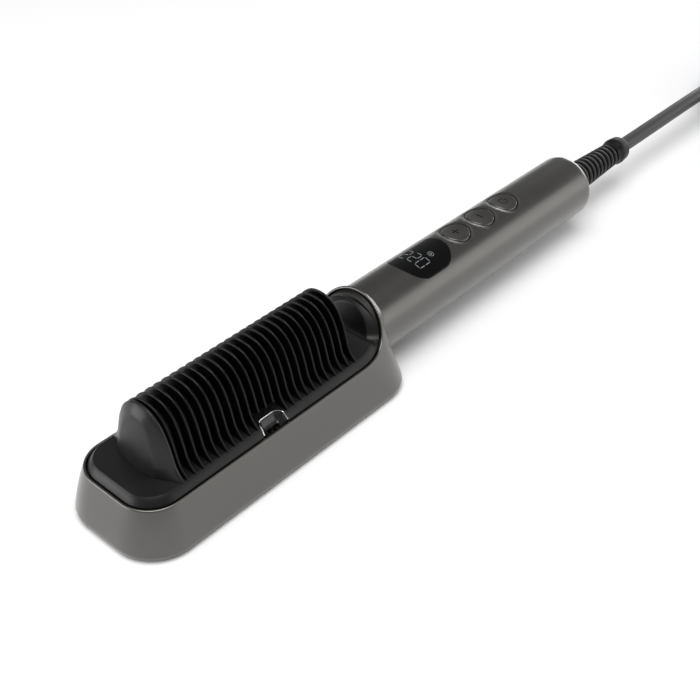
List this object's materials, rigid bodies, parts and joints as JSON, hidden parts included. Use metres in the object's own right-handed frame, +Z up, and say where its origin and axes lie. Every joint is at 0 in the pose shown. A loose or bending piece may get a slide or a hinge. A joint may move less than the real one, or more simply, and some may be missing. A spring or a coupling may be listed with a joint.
{
  "type": "heated straightening comb",
  "caption": "Wand-shaped heated hair straightening comb with a row of arched comb plates, a display, push buttons and a swivelling mains cord, lying on its back.",
  "frame": {"origin": "centre of the handset's footprint, at the level of the surface that the head lies on", "axes": "+X along the handle from the comb head towards the cord, +Z up out of the comb, +Y to the side away from the ion outlet"},
  "size_m": [0.6135, 0.0727, 0.0468],
  "materials": {
    "gunmetal": "satin warm dark-grey metallic lacquer",
    "matt_black": "fine-textured matt black moulded plastic",
    "gloss_black": "gloss black moulded plastic",
    "coated_aluminium": "dark ceramic-coated aluminium",
    "bright_steel": "bright plated metal",
    "ceramic": "unglazed heating ceramic",
    "inner_plastic": "natural grey moulded plastic",
    "circuit_board": "green solder mask",
    "black_rubber": "matt soft black rubber",
    "cord_grey": "smooth dark grey cord jacket"
  },
  "bodies": {
    "handset": {"head_shell": "gunmetal", "head_bezel": "matt_black", "front_cap": "matt_black", "head_screw_1": "bright_steel", "head_screw_2": "bright_steel", "comb_fin_01": "matt_black", "comb_fin_02": "matt_black", "comb_fin_03": "matt_black", "comb_fin_04": "matt_black", "comb_fin_05": "matt_black", "comb_fin_06": "matt_black", "comb_fin_07": "matt_black", "comb_fin_08": "matt_black", "comb_fin_09": "matt_black", "comb_fin_10": "matt_black", "comb_fin_11": "matt_black", "comb_fin_12": "matt_black", "comb_fin_13": "matt_black", "comb_fin_14": "matt_black", "comb_fin_15": "matt_black", "comb_fin_16": "matt_black", "comb_fin_17": "matt_black", "comb_fin_18": "matt_black", "comb_fin_19": "matt_black", "comb_fin_20": "matt_black", "comb_fin_21": "matt_black", "comb_fin_22": "matt_black", "comb_fin_23": "matt_black", "comb_fin_24": "matt_black", "heater_core": "coated_aluminium", "thermal_fuse": "bright_steel", "heat_shield": "inner_plastic", "ptc_element_1": "ceramic", "ptc_element_2": "ceramic", "ion_outlet_frame": "bright_steel", "ion_outlet_cup": "gloss_black", "ion_needle": "bright_steel", "ion_generator": "inner_plastic", "handle_sleeve": "gunmetal", "handle_chassis": "inner_plastic", "display_window": "gloss_black", "display_module": "inner_plastic", "control_board": "circuit_board", "tact_switch_1": "matt_black", "tact_switch_2": "matt_black", "tact_switch_3": "matt_black", "cord_run": "cord_grey", "cord_tail": "cord_grey", "cord_coil": "cord_grey", "cord_tie": "black_rubber", "plug_body": "black_rubber", "plug_pin_1": "bright_steel", "plug_pin_2": "bright_steel"},
    "plus_key": {"plus_button": "gunmetal"},
    "minus_key": {"minus_button": "gunmetal"},
    "power_key": {"power_button": "gunmetal"},
    "cord_swivel": {"swivel_drum": "matt_black", "strain_relief": "black_rubber"}
  },
  "joints": [
    {"name": "plus_press", "type": "slide", "parent": "handset", "child": "plus_key", "axis": [0, 0, -1], "range_m": [0, 0.0006], "stiffness_N_per_m": 900},
    {"name": "minus_press", "type": "slide", "parent": "handset", "child": "minus_key", "axis": [0, 0, -1], "range_m": [0, 0.0006], "stiffness_N_per_m": 900},
    {"name": "power_press", "type": "slide", "parent": "handset", "child": "power_key", "axis": [0, 0, -1], "range_m": [0, 0.0006], "stiffness_N_per_m": 900},
    {"name": "cord_turn", "type": "hinge", "parent": "handset", "child": "cord_swivel", "pos_m": [0.1159, 0, 0.0195], "axis": [1, 0, 0], "continuous": true}
  ]
}
